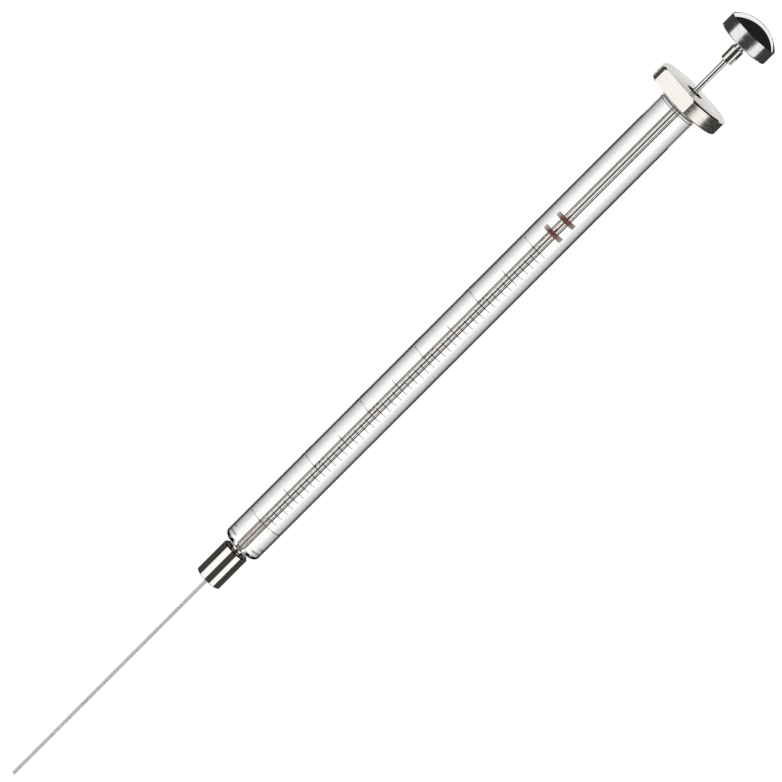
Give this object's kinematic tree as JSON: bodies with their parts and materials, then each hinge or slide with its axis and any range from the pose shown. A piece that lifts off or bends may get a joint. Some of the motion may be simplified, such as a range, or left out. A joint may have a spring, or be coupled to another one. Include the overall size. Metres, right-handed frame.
{
  "type": "microsyringe",
  "caption": "Microsyringe with a removable needle and its chromed nut, a graduated glass barrel, a finger flange with two flats, and a thin plunger rod with a domed button.",
  "frame": {"origin": "tip of the needle, on the syringe's axis", "axes": "+X along the axis from the needle's tip to the button, +Z square to the two flats of the finger flange, away from the one that the syringe lies on"},
  "size_m": [0.1652, 0.013, 0.0108],
  "materials": {
    "needle_steel": "drawn",
    "ferrule_brass": "turned",
    "washer_ptfe": "matte",
    "nut_chrome": "mirror plated",
    "nipple_steel": "turned",
    "cement": "cast",
    "barrel_glass": "polished",
    "scale_ink": "fired ink",
    "mark_ink": "fired ink",
    "flange_steel": "satin",
    "rod_steel": "ground",
    "collar_chrome": "mirror plated",
    "button_chrome": "mirror plated"
  },
  "bodies": {
    "barrel": {"glass_barrel": "barrel_glass", "scale_print": "scale_ink", "mark_print": "mark_ink", "front_nipple": "nipple_steel", "nipple_cement": "cement", "flange_cement": "cement", "finger_flange": "flange_steel"},
    "plunger": {"plunger_rod": "rod_steel", "rod_collar": "collar_chrome", "button": "button_chrome"},
    "needle": {"needle": "needle_steel", "needle_ferrule": "ferrule_brass", "seal_washer": "washer_ptfe"},
    "nut": {"needle_nut": "nut_chrome"}
  },
  "joints": [
    {"name": "plunger_slide", "type": "slide", "parent": "barrel", "child": "plunger", "axis": [1, 0, 0], "range_m": [0, 0.06]},
    {"name": "needle_slide", "type": "slide", "parent": "barrel", "child": "needle", "axis": [-1, 0, 0], "range_m": [0, 0.004]},
    {"name": "nut_turn", "type": "hinge", "parent": "needle", "child": "nut", "pos_m": [0.047, 0, 0], "axis": [-1, 0, 0], "range_deg": [0, 2881]}
  ],
  "couplings": [
    {"joint": "nut_turn", "follows": "needle_slide", "rad_per_m": 12566}
  ]
}
